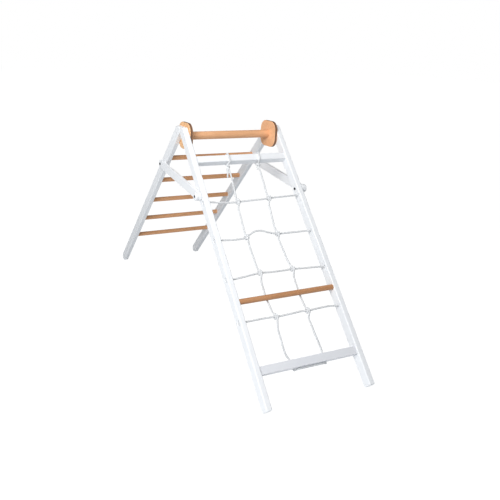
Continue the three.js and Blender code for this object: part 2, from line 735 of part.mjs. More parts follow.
// Behind the bottom crossbar, along its under side and up behind it again
function bottomWrap() {
  const corner = roundCorner(-1, 1, Math.PI, Math.PI / 2);
  const left = leftLegRoute.at(-1)[0];
  const right = rightLegRoute.at(-1)[0];
  const under = places.bottomCrossbar + corner.at(-1)[1];
  const down = corner.map(([outward, along]) => [left, places.bottomCrossbar + along, outward]);
  const up = corner.map(([outward, along]) => [right, places.bottomCrossbar + along, outward]).reverse();
  return [
    ...down,
    [left + wrapStretchInset, under, -wrapStretchInset / 2],
    [left + 3 * wrapStretchInset, under, 0],
    [0, under, 0],
    [right - 3 * wrapStretchInset, under, 0],
    [right - wrapStretchInset, under, -wrapStretchInset / 2],
    ...up,
  ];
}

// One long rope makes both legs of the net; it is knotted round every row it crosses
function netUprights() {
  const radius = ropeDiameter / 2;
  const ties = [leftLegRoute[0], rightLegRoute[0]];
  const knots = [...ties, ...knotPlaces].map((place) => lump(place, knotRadius, knotRadius, knotRadius));
  const [across, along, out] = ties[0];
  const binding = lump([across, along + bindingReach, out], bindingRadius, bindingReach, bindingRadius);
  const legsRoute = [...leftLegRoute, ...bottomWrap(), ...rightLegRoute.toReversed()];
  const wraps = sides.map(({ name }, index) => topWrap(ties[index], wrapShifts[name]));
  const ropes = [legsRoute, ...wraps].map((route) => ropeAlong(route, radius));
  const tunnels = rowRoutes.map((_, index) => ropeAlong(rowRoute(index), radius + seatGap));
  addPiece('net_upright_rope', cut(join([...knots, binding, ...ropes]), tunnels), whiteRope, front.group);
}

sides.forEach(frontRail);
sides.forEach(rearRail);
crossbar('top_crossbar', places.topCrossbar);
crossbar('bottom_crossbar', places.bottomCrossbar);
for (const side of sides) {
  crossbarDowels('top_crossbar', places.topCrossbar, side);
  crossbarDowels('bottom_crossbar', places.bottomCrossbar, side);
  plateDowels(side);
}
rung('front_rung', front, places.frontRung, frontRungLift);
rearRungPlaces().forEach((place, index) => rung(`rear_rung_${index + 1}`, rear, place, 0));
topBar();
sides.forEach(hingePlate);
sides.forEach(hinge);
sides.forEach(brace);
sides.forEach(pivotHardware);
sides.forEach(hookHardware);
sides.forEach(footScrews);
rowRoutes.forEach((_, index) => netRow(index));
netUprights();

export default climbingFrame;
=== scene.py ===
import math
from contextlib import contextmanager

import bmesh
import bpy
import numpy as np
from mathutils import Matrix, Vector


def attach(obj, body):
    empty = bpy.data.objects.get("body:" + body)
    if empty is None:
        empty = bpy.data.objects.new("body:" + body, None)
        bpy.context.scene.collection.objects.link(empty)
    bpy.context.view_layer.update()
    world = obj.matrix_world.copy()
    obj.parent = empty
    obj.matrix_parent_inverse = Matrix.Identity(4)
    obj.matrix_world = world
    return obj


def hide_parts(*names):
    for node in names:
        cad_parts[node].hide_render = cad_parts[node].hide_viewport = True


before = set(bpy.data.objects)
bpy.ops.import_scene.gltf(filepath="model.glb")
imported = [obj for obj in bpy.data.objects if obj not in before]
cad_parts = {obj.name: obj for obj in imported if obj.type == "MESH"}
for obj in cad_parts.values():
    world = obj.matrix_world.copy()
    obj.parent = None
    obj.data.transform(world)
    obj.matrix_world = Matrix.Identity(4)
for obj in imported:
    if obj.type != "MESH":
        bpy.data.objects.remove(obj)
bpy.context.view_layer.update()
print("frame loaded,", len(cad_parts), "nodes")

mm = 0.001  # the scene is in metres, and the pieces' sizes are written in millimetres

# Where the photograph was taken from: place in metres, angles in degrees
photoView = {
    "place": (-1.50821, -2.97961, 1.55308),
    "yaw": 25.908,
    "pitch": 17.574,
    "roll": 2.255,
    "lens": 42.544,
    "shift": (0.07, -0.0342),
}


def aimCamera():
    camera = bpy.data.objects.new("photoCamera", bpy.data.cameras.new("photoCamera"))
    bpy.context.scene.collection.objects.link(camera)
    yaw, pitch, roll = (math.radians(photoView[name]) for name in ("yaw", "pitch", "roll"))
    ahead = Vector((math.sin(yaw) * math.cos(pitch), math.cos(yaw) * math.cos(pitch),
                    -math.sin(pitch)))
    level = Vector((math.cos(yaw), -math.sin(yaw), 0))
    over = level.cross(ahead)
    right = math.cos(roll) * level + math.sin(roll) * over
    up = math.cos(roll) * over - math.sin(roll) * level
    turn = Matrix((right, up, -ahead)).transposed().to_4x4()
    camera.matrix_world = Matrix.Translation(photoView["place"]) @ turn
    camera.data.lens = photoView["lens"]
    camera.data.shift_x, camera.data.shift_y = photoView["shift"]
    bpy.context.scene.camera = camera


aimCamera()
bpy.context.scene.view_settings.view_transform = "Standard"


# Shader sockets that add up: a sum, product or difference of wires puts in its Math nodes
class Wire:
    def __init__(self, finish, socket):
        self.finish, self.socket = finish, socket

    def maths(self, operation, first, second):
        return self.finish.node("ShaderNodeMath", {"operation": operation}, {0: first, 1: second})

    def __add__(self, other):
        return self.maths("ADD", self, other)

    def __mul__(self, other):
        return self.maths("MULTIPLY", self, other)

    def __sub__(self, other):
        return self.maths("SUBTRACT", self, other)

    def __rsub__(self, other):
        return self.maths("SUBTRACT", other, self)

    __radd__ = __add__
    __rmul__ = __mul__


colourMix = {"first": 6, "second": 7, "result": 2}  # sockets of the Mix node, set to colours


# The nodes of a material or of the world
class Finish:
    def __init__(self, name, kind="materials", output="ShaderNodeOutputMaterial"):
        self.owner = getattr(bpy.data, kind).new(name)
        self.owner.use_nodes = True
        self.tree = self.owner.node_tree
        self.tree.nodes.clear()
        self.output = self.tree.nodes.new(output)

    def node(self, kind, settings=None, values=None, output=0):
        made = self.tree.nodes.new(kind)
        for name, value in (settings or {}).items():
            if name == "stops":
                self.setStops(made.color_ramp, value)
            else:
                setattr(made, name, value)
        for name, value in (values or {}).items():
            if isinstance(value, Wire):
                self.tree.links.new(value.socket, made.inputs[name])
            else:
                made.inputs[name].default_value = value
        return Wire(self, made.outputs[output])

    def setStops(self, ramp, stops):
        while len(ramp.elements) < len(stops):
            ramp.elements.new(1)
        for element, (position, colour) in zip(ramp.elements, stops):
            element.position, element.color = position, colour

    # The piece's own coordinates, turned and stretched for a pattern
    def place(self, scale=(1, 1, 1), turn=(0, 0, 0), source="Object"):
        coordinates = self.node("ShaderNodeTexCoord", output=source)
        return self.node("ShaderNodeMapping", None, {
            "Vector": coordinates, "Rotation": turn, "Scale": scale})

    def noise(self, place, scale=1, detail=2, roughness=0.5, distortion=0):
        return self.node("ShaderNodeTexNoise", None, {
            "Vector": place, "Scale": scale, "Detail": detail, "Roughness": roughness,
            "Distortion": distortion})

    def ramp(self, factor, *stops):
        return self.node("ShaderNodeValToRGB", {"stops": stops}, {"Fac": factor})

    # Nothing below the first place, and rising to the most at the second
    def mask(self, factor, places, most=1):
        low, high = places
        return self.ramp(factor, (low, grey(0)), (high, grey(most)))

    def blend(self, factor, first, second):
        colours = {colourMix["first"]: first, colourMix["second"]: second}
        return self.node("ShaderNodeMix", {"data_type": "RGBA"}, {"Factor": factor, **colours},
                         output=colourMix["result"])

    def bump(self, height, strength, distance):
        return self.node("ShaderNodeBump", None, {
            "Height": height, "Strength": strength, "Distance": distance})

    def show(self, shader):
        self.tree.links.new(shader.socket, self.output.inputs["Surface"])
        return self.owner

    def close(self, **sockets):
        values = {name.replace("_", " "): value for name, value in sockets.items()}
        return self.show(self.node("ShaderNodeBsdfPrincipled", None, values))


def grey(level):
    return (level, level, level, 1)


def toned(colour, tone):
    return tuple(min(1, part * share) for part, share in zip(colour, tone)) + (1,)


# In every finish, gloss is the least roughness and how much it varies, and bump is a strength and
# a distance in metres

# White satin paint; the wood's grain still shows faintly through it, along the given axis
paint = {
    "colour": (0.9, 0.91, 0.925, 1),
    "thin": (0.875, 0.887, 0.91, 1),
    "grain": {"detail": 4, "roughness": 0.6, "distortion": 0.6},
    "cloud": {"scale": 7, "detail": 3, "roughness": 0.55},
    "peel": {"scale": 900, "detail": 1},
    "cloudShare": 0.7,
    "thinStops": (0.42, 0.68),
    "grainHeight": 0.03,
    "peelHeight": 0.02,
    "gloss": (0.42, 0.1),
    "bump": (0.4, 0.002),
}


def paintedWood(name, stretch, turn=(0, 0, 0), tone=(1, 1, 1)):
    finish = Finish(name)
    grain = finish.noise(finish.place(stretch, turn), **paint["grain"])
    cloud = finish.noise(finish.place(), **paint["cloud"])
    peel = finish.noise(finish.place(), **paint["peel"])
    share = paint["cloudShare"]
    thin = finish.mask(cloud * share + grain * (1 - share), paint["thinStops"])
    least, more = paint["gloss"]
    height = grain * paint["grainHeight"] + peel * paint["peelHeight"]
    return finish.close(
        Base_Color=finish.blend(thin, toned(paint["colour"], tone), toned(paint["thin"], tone)),
        Roughness=least + more * cloud,
        Normal=finish.bump(height, *paint["bump"]),
    )


# Bare beech: warm streaks, a slow change of tone and the short dark flecks of its rays
beech = {
    "light": (0.84, 0.47, 0.26, 1),
    "deep": (0.68, 0.35, 0.175, 1),
    "streak": (0.55, 0.26, 0.12, 1),
    "fleck": (0.36, 0.16, 0.07, 1),
    # the plate rim's colour: darker end grain together with painted shade
    "rim": (0.2, 0.095, 0.05, 1),
    "fibres": {"detail": 5, "roughness": 0.62, "distortion": 0.3},
    "fibreStretch": (9, 420, 420),
    "rings": {"detail": 3, "roughness": 0.5, "distortion": 1.1},
    "ringStretch": (2.2, 70, 70),
    "cloud": {"detail": 2},
    "cloudStretch": (2.5, 11, 11),
    "flecks": {"detail": 2, "roughness": 0.4},
    "fleckStretch": (260, 1500, 1500),
    "ringShare": 0.65,
    "deepStops": (0.36, 0.68),
    "streakStops": (0.5, 0.74),
    "streakMost": 0.75,
    "fleckStops": (0.66, 0.72),
    "fleckMost": 0.6,
    "rimStops": (0.55, 0.75),
    "fibreHeight": 0.5,
    "fleckDepth": 0.4,
    "gloss": (0.5, 0.14),
    "bump": (0.35, 0.0006),
}
centimetres = 100


# The rim of a plate, between its two faces, is painted darker: partly the end grain's own deeper
# tone, partly painted shade
def rimGrainAndShadeMask(finish, middle):
    place = finish.node("ShaderNodeTexCoord", output="Object")
    across = finish.node("ShaderNodeSeparateXYZ", None, {"Vector": place})
    away = finish.node("ShaderNodeMath", {"operation": "ABSOLUTE"}, {0: across - middle})
    low, high = beech["rimStops"]
    return finish.ramp(away * centimetres, (low, grey(1)), (high, grey(0)))


def bareBeech(name, tone, turn=(0, 0, 0), rimMiddle=None):
    finish = Finish(name)
    light, deep, streak = (toned(beech[key], tone) for key in ("light", "deep", "streak"))
    fibres = finish.noise(finish.place(beech["fibreStretch"], turn), **beech["fibres"])
    rings = finish.noise(finish.place(beech["ringStretch"], turn), **beech["rings"])
    cloud = finish.noise(finish.place(beech["cloudStretch"], turn), **beech["cloud"])
    flecks = finish.noise(finish.place(beech["fleckStretch"], turn), **beech["flecks"])
    share = beech["ringShare"]
    low, high = beech["deepStops"]
    ground = finish.ramp(rings * share + cloud * (1 - share), (low, light), (high, deep))
    streaks = finish.mask(fibres, beech["streakStops"], beech["streakMost"])
    fleckMask = finish.mask(flecks, beech["fleckStops"], beech["fleckMost"])
    colour = finish.blend(fleckMask, finish.blend(streaks, ground, streak), beech["fleck"])
    if rimMiddle:
        # painted shade together with darker end grain, all round the plate's rim
        colour = finish.blend(rimGrainAndShadeMask(finish, rimMiddle), colour, beech["rim"])
    least, more = beech["gloss"]
    height = fibres * beech["fibreHeight"] - fleckMask * beech["fleckDepth"]
    return finish.close(
        Base_Color=colour,
        Roughness=least + more * fibres,
        Normal=finish.bump(height, *beech["bump"]),
    )


# Bolts and screws are blackened, and what lies between the boards is bright zinc
steels = {
    "blackSteel": {
        "wear": {"scale": 420, "detail": 4, "roughness": 0.65},
        "stops": ((0.45, (0.014, 0.014, 0.016, 1)), (0.8, (0.05, 0.05, 0.054, 1))),
        "metallic": 0.75,
        "gloss": (0.3, 0.25),
        "bump": (0.15, 0.0002),
    },
    "zincSteel": {
        "wear": {"scale": 650, "detail": 3, "roughness": 0.6},
        "stops": ((0.35, (0.56, 0.57, 0.59, 1)), (0.7, (0.74, 0.75, 0.77, 1))),
        "metallic": 1,
        "gloss": (0.24, 0.2),
        "bump": (0.1, 0.0002),
    },
}


def steel(name):
    look, finish = steels[name], Finish(name)
    wear = finish.noise(finish.place(), **look["wear"])
    least, more = look["gloss"]
    return finish.close(
        Base_Color=finish.ramp(wear, *look["stops"]),
        Metallic=look["metallic"],
        Roughness=least + more * wear,
        Normal=finish.bump(wear, *look["bump"]),
    )


plastic = {
    "mould": {"scale": 1400, "detail": 2},
    "cloud": {"scale": 30, "detail": 2},
    "stops": ((0.3, (0.84, 0.85, 0.87, 1)), (0.7, (0.88, 0.885, 0.9, 1))),
    "gloss": (0.3, 0.08),
    "bump": (0.12, 0.0003),
}


def whitePlastic():
    finish = Finish("whitePlastic")
    mould = finish.noise(finish.place(), **plastic["mould"])
    cloud = finish.noise(finish.place(), **plastic["cloud"])
    least, more = plastic["gloss"]
    return finish.close(
        Base_Color=finish.ramp(cloud, *plastic["stops"]),
        Roughness=least + more * cloud,
        Normal=finish.bump(mould, *plastic["bump"]),
    )


# Laid rope: fine yarns turn about each strand, with painted shade in the hollows between them; its
# own UV map runs round and along the strand
cotton = {
    "yarnTurns": (9, 0.9, 1),
    "yarns": {"Scale": 1, "Distortion": 1.2, "Detail": 2, "Detail Scale": 3},
    "fuzz": {"scale": 1900, "detail": 3, "roughness": 0.7},
    "soil": {"scale": 14, "detail": 2},
    "yarnShare": 0.6,
    # the rope's colour from its hollows to its raised yarns: painted shade between the yarns
    "stops": ((0.2, (0.66, 0.67, 0.68, 1)), (0.62, (0.8, 0.81, 0.825, 1))),
    "soiled": (0.8, 0.8, 0.78, 1),
    "soilStops": (0.5, 0.8),
    "soilMost": 0.35,
    "yarnHeight": 0.7,
    "fuzzHeight": 0.5,
    "gloss": (0.82, 0.1),
    "bump": (0.5, 0.0004),
}


def whiteRope():
    finish = Finish("whiteRope")
    around = finish.place(cotton["yarnTurns"], source="UV")
    yarns = finish.node("ShaderNodeTexWave", {"bands_direction": "DIAGONAL"},
                        {"Vector": around, **cotton["yarns"]}, output="Fac")
    fuzz = finish.noise(finish.place(), **cotton["fuzz"])
    soil = finish.noise(finish.place(), **cotton["soil"])
    share = cotton["yarnShare"]
    # painted shade: the rope's colour darkens where its yarns and fibres sink in the bump
    lit = finish.ramp(yarns * share + fuzz * (1 - share), *cotton["stops"])
    soilMask = finish.mask(soil, cotton["soilStops"], cotton["soilMost"])
    least, more = cotton["gloss"]
    height = yarns * cotton["yarnHeight"] + fuzz * cotton["fuzzHeight"]
    return finish.close(
        Base_Color=finish.blend(soilMask, lit, cotton["soiled"]),
        Roughness=least + more * fuzz,
        Normal=finish.bump(height, *cotton["bump"]),
    )


# Angles of the boards in degrees, and how the paint's grain is stretched along and across them
legSpread = 43.4
braceTilt = 6.57
alongFront = (math.radians(legSpread), 0, 0)
alongRear = (math.radians(-legSpread), 0, 0)
alongBrace = (math.radians(-braceTilt), 0, 0)
plateTurn = (0, math.radians(90), 0)
alongGrain, acrossGrain = 3, 260
legGrain = (acrossGrain, acrossGrain, alongGrain)
crossbarGrain = (alongGrain, acrossGrain, acrossGrain)
braceGrain = (acrossGrain, alongGrain, acrossGrain)
plateMiddle = 0.2607  # metres from the middle of the frame
finishes = {
    "frontLeg": paintedWood("paintFrontLeg", legGrain, alongFront),
    "rearLeg": paintedWood("paintRearLeg", legGrain, alongRear),
    "topCrossbar": paintedWood("paintTopCrossbar", crossbarGrain),
    # painted shade: the bottom crossbar's paint is toned darker and bluer, for the light that falls
    # off towards the floor
    "bottomCrossbar": paintedWood("paintBottomCrossbarShaded", crossbarGrain, tone=(0.88, 0.88, 0.9)),
    "brace": paintedWood("paintBrace", braceGrain, alongBrace),
    # Rungs, top bar and plates are one beech, toned piece by piece as painted light and shade: the
    # front rung darkened most, the rear rungs a little, the top bar and plates lightened, the left
    # plate most and yellower
    "frontRung": bareBeech("beechFrontRungShaded", (0.7, 0.63, 0.55)),
    "rearRung": bareBeech("beechRearRungShaded", (0.94, 0.89, 0.82)),
    "topBar": bareBeech("beechTopBarLit", (1.07, 1.07, 1.05)),
    "leftPlate": bareBeech("beechLeftPlateLit", (1.18, 1.3, 1.24), plateTurn, -plateMiddle),
    "rightPlate": bareBeech("beechRightPlateLit", (1.18, 1.2, 1.2), plateTurn, plateMiddle),
    "black": steel("blackSteel"),
    "zinc": steel("zincSteel"),
    "plastic": whitePlastic(),
    "rope": whiteRope(),
}
print("materials made,", len(finishes))


# Hand tools for shaping a piece
shading = {"crisp": 32, "crispFitting": 40, "weight": 80}  # angles in degrees
mergeReach = 0.001


def pick(piece):
    bpy.ops.object.select_all(action="DESELECT")
    piece.select_set(True)
    bpy.context.view_layer.objects.active = piece


@contextmanager
def shaping(piece, kind="FACE"):
    pick(piece)
    bpy.ops.object.mode_set(mode="EDIT")
    bpy.ops.mesh.select_mode(type=kind)
    bpy.ops.mesh.select_all(action="DESELECT")
    yield
    bpy.ops.object.mode_set(mode="OBJECT")


def roundEdges(piece, test, rounding, steps):
    with shaping(piece, "EDGE"):
        mesh = bmesh.from_edit_mesh(piece.data)
        for edge in mesh.edges:
            edge.select_set(bool(test(edge)))
        bmesh.update_edit_mesh(piece.data)
        bpy.ops.mesh.bevel(offset=rounding * mm, segments=steps, affect="EDGES")


def runsAcross(edge):
    return abs(edge.verts[0].co.x - edge.verts[1].co.x) > edge.calc_length() / 2


def isSharp(edge, angle=60):
    return edge.calc_face_angle(0) > math.radians(angle)


# The outline of a board's two faces
def isRim(edge):
    return isSharp(edge) and not runsAcross(edge)


def named(name):
    piece = bpy.context.active_object
    piece.name = piece.data.name = name
    return piece


def settle(piece):
    pick(piece)
    bpy.ops.object.transform_apply(location=True, rotation=True, scale=True)
    return piece


def block(name, size, place=(0, 0, 0)):
    bpy.ops.mesh.primitive_cube_add(size=1)
    piece = named(name)
    piece.scale = [length * mm for length in size]
    piece.location = [distance * mm for distance in place]
    return settle(piece)


def applied(piece, kind, **settings):
    modifier = piece.modifiers.new(kind.lower(), kind)
    for name, value in settings.items():
        setattr(modifier, name, value)
    pick(piece)
    bpy.ops.object.modifier_apply(modifier=modifier.name)
    return piece


def tidyMesh(piece, reach=mergeReach):
    with shaping(piece, "VERT"):
        bpy.ops.mesh.select_all(action="SELECT")
        bpy.ops.mesh.remove_doubles(threshold=reach * mm)
        bpy.ops.mesh.normals_make_consistent(inside=False)
    return piece


def smooth(piece, angle=shading["crisp"]):
    pick(piece)
    bpy.ops.object.shade_smooth_by_angle(angle=math.radians(angle))
    return applied(piece, "WEIGHTED_NORMAL", keep_sharp=True, weight=shading["weight"])


def dress(piece, finish, body, *nodes):
    piece.data.materials.clear()
    piece.data.materials.append(finishes[finish])
    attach(piece, body)
    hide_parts(*nodes)
    return piece


# A turned piece along X, drawn by extruding a disc from ring to ring: (radius, place) pairs
def turnedPiece(name, rings, centre, around=48):
    radius, place = rings[0]
    x, y, z = centre
    bpy.ops.mesh.primitive_circle_add(
        vertices=around, radius=radius * mm, fill_type="NGON",
        location=(x + place * mm, y, z), rotation=(0, math.pi / 2, 0))
    piece = settle(named(name))
    with shaping(piece):
        bpy.ops.mesh.select_all(action="SELECT")
        for nextRadius, nextPlace in rings[1:]:
            bpy.ops.mesh.extrude_region_move(
                TRANSFORM_OT_translate={"value": ((nextPlace - place) * mm, 0, 0)})
            size = nextRadius / radius
            bpy.ops.transform.resize(
                value=(1, size, size), center_override=(x + nextPlace * mm, y, z))
            radius, place = nextRadius, nextPlace
    return tidyMesh(piece)


# The rings round a softened rim, from one turn to another about (radius, place)
def rim(radius, place, rounding, first, last, steps=5):
    turns = [math.radians(first + (last - first) * step / steps) for step in range(steps + 1)]
    return [(radius + rounding * math.cos(turn), place + rounding * math.sin(turn))
            for turn in turns]


def mirrored(rings, sign):
    return [(radius, sign * place) for radius, place in rings]


def drill(piece, *cutters):
    for cutter in cutters:
        applied(piece, "BOOLEAN", operation="DIFFERENCE", solver="EXACT", object=cutter)
        bpy.data.objects.remove(cutter)
    return piece


def drillBit(radius, start, end, centre, around=32):
    return turnedPiece("drillBit", [(radius, start), (radius, end)], centre, around)


# Places on the two leaning panels, from [across, along, out]
stand = {"crossing": 1140, "spread": math.radians(legSpread), "width": 600}
facings = {"front": -1, "rear": 1}
panelBody = {"front": "net_frame", "rear": "ladder"}


def panelTurn(panel):
    turn = Matrix.Rotation(facings[panel] * stand["spread"], 4, "X")
    return Matrix.Translation((0, 0, stand["crossing"] * mm)) @ turn


def panelPoint(panel, across, along, out):
    return panelTurn(panel) @ (Vector((across, facings[panel] * out, -along)) * mm)


def stood(panel, along, out=0):
    return panelPoint(panel, 0, along, out)


sides = {"left": -1, "right": 1}
fit = 0.3  # the gap between pieces that touch
overrun = 5  # how far a cutter stands out of its board

# Bolts: where they cross the legs, and their shafts' radius. In all pieces, around is how many
# sides stand for a circle
bolts = {"radius": 4, "hook": 443, "pivot": 356, "hinge": 65, "holeAround": 24}
boltHole = bolts["radius"] + fit

# Rungs, turned with softened ends
rungs = {"radius": 14, "rounding": 1, "around": 64, "socketDepth": 15, "socketAround": 48}
frontRung = {"along": 1032, "out": 9}
rearRung = {"first": 302, "pitch": 226, "count": 5}
frontRungMiddle = stood("front", **frontRung)
rearRungs = [rearRung["first"] + rearRung["pitch"] * index for index in range(rearRung["count"])]

# Rails: sawn board, mitred at the top, feet shaped, edges rounded, then drilled
rail = {
    "thickness": 30,
    "depth": 55,
    "rounding": 5,
    "roundSteps": 5,
    "arris": 0.6,
    "arrisSteps": 2,
    "arrisAngle": 30,
    "overlength": 40,
    "mitreGap": 0.5,
    "topDrop": 10,
    "frontEnd": 1548.5,
    "frontToe": 7,
    "toeSteps": 6,
    "rearEnd": 1559.8,
    "rearRound": 27.4,
    "footSteps": 14,
    "mergeReach": 0.4,
}
ropeHole = {
    "radius": 5.6,
    "mouth": 11.6,
    "mouthDepth": 3,
    "recess": 12,
    "recessDepth": 12,
    "chamfer": 0.8,
    "flare": 3,
    "lift": 5,
    "around": 40,
}
hingeCap = {"radius": 8, "inside": 298, "outside": 300, "chamfer": 0.4, "rounding": 0.6,
            "sink": 8, "seatAround": 40}
rowPlaces = (486, 703, 914, 1131)
outerFace = stand["width"] / 2
innerFace = outerFace - rail["thickness"]


def sawnRail(name, panel, sign):
    start, end = -rail["overlength"], rail[panel + "End"]
    piece = block(name, (rail["thickness"], rail["depth"], end - start),
                  (sign * (outerFace + innerFace) / 2, 0, -(end + start) / 2))
    lowest = (1 - end) * mm  # within 1 mm of the end, and of the outer face
    foremost = (1 - rail["depth"] / 2) * mm
    if panel == "front":
        roundEdges(piece, lambda edge: all(
            vert.co.z < lowest and vert.co.y < foremost for vert in edge.verts),
            rail["frontToe"], rail["toeSteps"])
    else:
        roundEdges(piece, lambda edge: runsAcross(edge) and all(
            vert.co.z < lowest for vert in edge.verts), rail["rearRound"], rail["footSteps"])
    piece.matrix_world = panelTurn(panel)
    settle(piece)
    facing = facings[panel]
    mitre = ((0, facing * rail["mitreGap"] * mm, 0), (0, -facing, 0))
    top = ((0, 0, (stand["crossing"] - rail["topDrop"]) * mm), (0, 0, 1))
    ground = ((0, 0, 0), (0, 0, -1))
    with shaping(piece):
        for place, outward in (mitre, top, ground):
            bpy.ops.mesh.select_all(action="SELECT")
            bpy.ops.mesh.bisect(
                plane_co=place, plane_no=outward, use_fill=True, clear_outer=True)
    tidyMesh(piece, rail["mergeReach"])
    roundEdges(piece, isRim, rail["rounding"], rail["roundSteps"])
    roundEdges(piece, lambda edge: isSharp(edge, rail["arrisAngle"]),
               rail["arris"], rail["arrisSteps"])
    return tidyMesh(piece)


# A rope's hole: a flared mouth inside, and outside the recess for its stopper knot
def ropeBits(sign):
    radius, mouth, recess, chamfer, flare = (
        ropeHole[key] for key in ("radius", "mouth", "recess", "chamfer", "flare"))
    recessFloor = outerFace - ropeHole["recessDepth"]
    rings = [
        (mouth + flare, innerFace - flare / 2), (mouth, innerFace),
        (radius, innerFace + ropeHole["mouthDepth"]), (radius, recessFloor),
        (recess, recessFloor), (recess, outerFace - chamfer),
        (recess + flare, outerFace - chamfer + flare),
    ]
    return [turnedPiece("ropeBit", mirrored(rings, sign), stood("front", place, ropeHole["lift"]),
                        ropeHole["around"]) for place in rowPlaces]


def makeRail(panel, side, sign):
    name = f"{panel}_rail_{side}"
    piece = sawnRail(f"{name}_board", panel, sign)
    blind = [sign * (innerFace - overrun), sign * (innerFace + rungs["socketDepth"])]
    through = [sign * (innerFace - overrun), sign * (outerFace + overrun)]
    capSeat = [sign * (outerFace - hingeCap["sink"]), sign * (outerFace + overrun)]
    socket = rungs["radius"] + fit
    if panel == "front":
        drill(piece, *ropeBits(sign),
              drillBit(socket, *blind, frontRungMiddle, rungs["socketAround"]),
              drillBit(boltHole, *through, stood("front", bolts["hook"]), bolts["holeAround"]))
    else:
        drill(piece, *[drillBit(socket, *blind, stood("rear", place), rungs["socketAround"])
                       for place in rearRungs],
              drillBit(boltHole, *through, stood("rear", bolts["pivot"]), bolts["holeAround"]),
              drillBit(hingeCap["radius"] + fit, *capSeat, stood("rear", bolts["hinge"]),
                       hingeCap["seatAround"]))
    smooth(piece)
    return dress(piece, f"{panel}Leg", panelBody[panel], name)


for side, sign in sides.items():
    for panel in facings:
        makeRail(panel, side, sign)
print("rails made")


# Crossbars of the net panel
crossbar = {
    "size": 40,
    "rounding": 3,
    "roundSteps": 5,
    "places": {"top_crossbar": 236, "bottom_crossbar": 1369},
    "finishes": {"top_crossbar": "topCrossbar", "bottom_crossbar": "bottomCrossbar"},
}


def makeCrossbar(name, place):
    size = crossbar["size"]
    piece = block(f"{name}_bar", (2 * (innerFace - fit), size, size), (0, 0, -place))
    roundEdges(piece, runsAcross, crossbar["rounding"], crossbar["roundSteps"])
    piece.matrix_world = panelTurn("front")
    settle(piece)
    smooth(piece)
    return dress(piece, crossbar["finishes"][name], "net_frame", name)


for name, place in crossbar["places"].items():
    makeCrossbar(name, place)

# The plates at the top and the thicker bar between them
plate = {
    "inside": 251.7,
    "outside": 269.7,
    "width": 163,
    "height": 146,
    "corner": 50,
    "cornerSteps": 16,
    "rounding": 3,
    "roundSteps": 5,
    "socket": 10,
    "socketAround": 64,
    "mergeReach": 0.01,
}
topBar = {"radius": 22, "rounding": 1, "around": 80, "height": 1079}
barMiddle = Vector((0, 0, topBar["height"] * mm))


def makeRod(node, rod, half, centre, body, finish):
    radius, rounding = rod["radius"], rod["rounding"]
    rings = [*rim(radius - rounding, rounding - half, rounding, -90, 0, 3),
             *rim(radius - rounding, half - rounding, rounding, 0, 90, 3)]
    piece = turnedPiece(f"{node}_rod", rings, centre, rod["around"])
    smooth(piece)
    return dress(piece, finish, body, node)


rungHalf = innerFace + rungs["socketDepth"] - fit
barHalf = plate["inside"] + plate["socket"] - fit
makeRod("front_rung", rungs, rungHalf, frontRungMiddle, "net_frame", "frontRung")
for index, place in enumerate(rearRungs, 1):
    makeRod(f"rear_rung_{index}", rungs, rungHalf, stood("rear", place), "ladder", "rearRung")
makeRod("top_bar", topBar, barHalf, barMiddle, "net_frame", "topBar")


# Plates: a board with its corners well rounded, a softened rim and the socket for the bar
def makePlate(side, sign):
    inside, outside = plate["inside"], plate["outside"]
    piece = block(f"hinge_plate_{side}_board", (outside - inside, plate["width"], plate["height"]),
                  (sign * (outside + inside) / 2, 0, topBar["height"]))
    roundEdges(piece, runsAcross, plate["corner"], plate["cornerSteps"])
    roundEdges(piece, isRim, plate["rounding"], plate["roundSteps"])
    socket = [sign * (inside - overrun), sign * (inside + plate["socket"])]
    drill(piece, drillBit(topBar["radius"] + fit, *socket, barMiddle, plate["socketAround"]))
    tidyMesh(piece, plate["mergeReach"])
    smooth(piece)
    return dress(piece, f"{side}Plate", "net_frame", f"hinge_plate_{side}")


for side, sign in sides.items():
    makePlate(side, sign)
print("bars, rungs and plates made")

# Side braces: round-ended boards, drilled at the ladder's end, with an open hook at the front
brace = {
    "width": 48,
    "inside": 302,
    "outside": 317,
    "rounding": 2.5,
    "roundSteps": 4,
    "endSteps": 14,
    "endTrim": 0.02,
    "endMergeReach": 0.1,
    "hookRadius": 5,
    "hookTurn": 61.4,
    "hookAround": 40,
    "mergeReach": 0.01,
}


# The way out of the hook, as a long block that leaves its round seat
def slotCutter(middle, thickness, length):
    width = brace["width"]
    slot = block("slotCutter", (3 * thickness, width, 2 * brace["hookRadius"]), (0, width / 2, 0))
    slot.rotation_euler = (math.radians(brace["hookTurn"]), 0, 0)
    slot.location = (middle * mm, -length * mm, 0)
    return settle(slot)


def makeBrace(side, sign):
    pivot, hook = stood("rear", bolts["pivot"]), stood("front", bolts["hook"])
    length = (pivot - hook).length / mm
    tilt = math.atan2(pivot.z - hook.z, pivot.y - hook.y)
    inside, outside, width = brace["inside"], brace["outside"], brace["width"]
    middle, thickness = sign * (inside + outside) / 2, outside - inside
    piece = block(f"brace_{side}_board", (thickness, length + width, width),
                  (middle, -length / 2, 0))
    roundEdges(piece, runsAcross, width / 2 - brace["endTrim"], brace["endSteps"])
    tidyMesh(piece, brace["endMergeReach"])
    roundEdges(piece, isRim, brace["rounding"], brace["roundSteps"])
    faces = [sign * (inside - overrun), sign * (outside + overrun)]
    seat = drillBit(brace["hookRadius"], *faces, (0, -length * mm, 0), brace["hookAround"])
    slot = slotCutter(middle, thickness, length)
    drill(piece, drillBit(boltHole, *faces, (0, 0, 0)), seat, slot)
    tidyMesh(piece, brace["mergeReach"])
    piece.matrix_world = Matrix.Translation(pivot) @ Matrix.Rotation(tilt, 4, "X")
    settle(piece)
    smooth(piece)
    return dress(piece, "brace", f"brace_{side}", f"brace_{side}")


for side, sign in sides.items():
    makeBrace(side, sign)
print("braces made")

